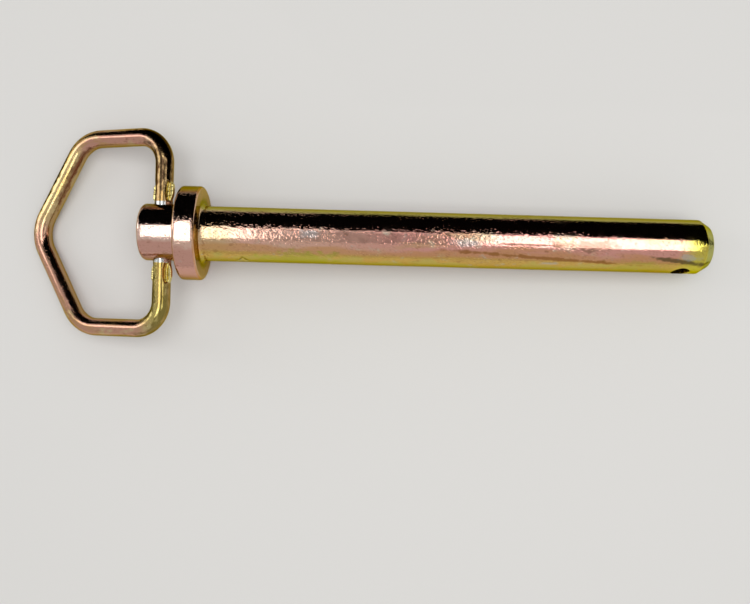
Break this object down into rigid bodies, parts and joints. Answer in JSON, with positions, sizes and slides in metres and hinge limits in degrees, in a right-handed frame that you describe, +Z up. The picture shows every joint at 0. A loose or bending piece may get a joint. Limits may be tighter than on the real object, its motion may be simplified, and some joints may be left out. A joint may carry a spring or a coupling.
{
  "type": "hitch pin",
  "caption": "Forged steel hitch pin with a thick collar, a chamfered tip with a cross hole for a clip, and a swinging wire handle through its head.",
  "frame": {"origin": "on the surface that the pin lies on, below the middle of its whole length and width", "axes": "+X along the pin towards its tip, +Y across it along the cross hole, +Z up from the surface; the shank's own axis leans 2.23 degrees down towards the tip, because the pin rests on its collar and its tip"},
  "size_m": [0.24, 0.073, 0.0326],
  "materials": {
    "forging": "yellow chromated zinc plate on forged steel",
    "wire": "yellow chromated zinc plate on drawn steel wire"
  },
  "bodies": {
    "pin": {"pin": "forging"},
    "handle": {"handle": "wire"}
  },
  "joints": [
    {"name": "handle_swing", "type": "hinge", "parent": "pin", "child": "handle", "pos_m": [-0.06871, 0, 0.01669], "axis": [0, 1, 0], "range_deg": [-147.1, 182.9]}
  ]
}
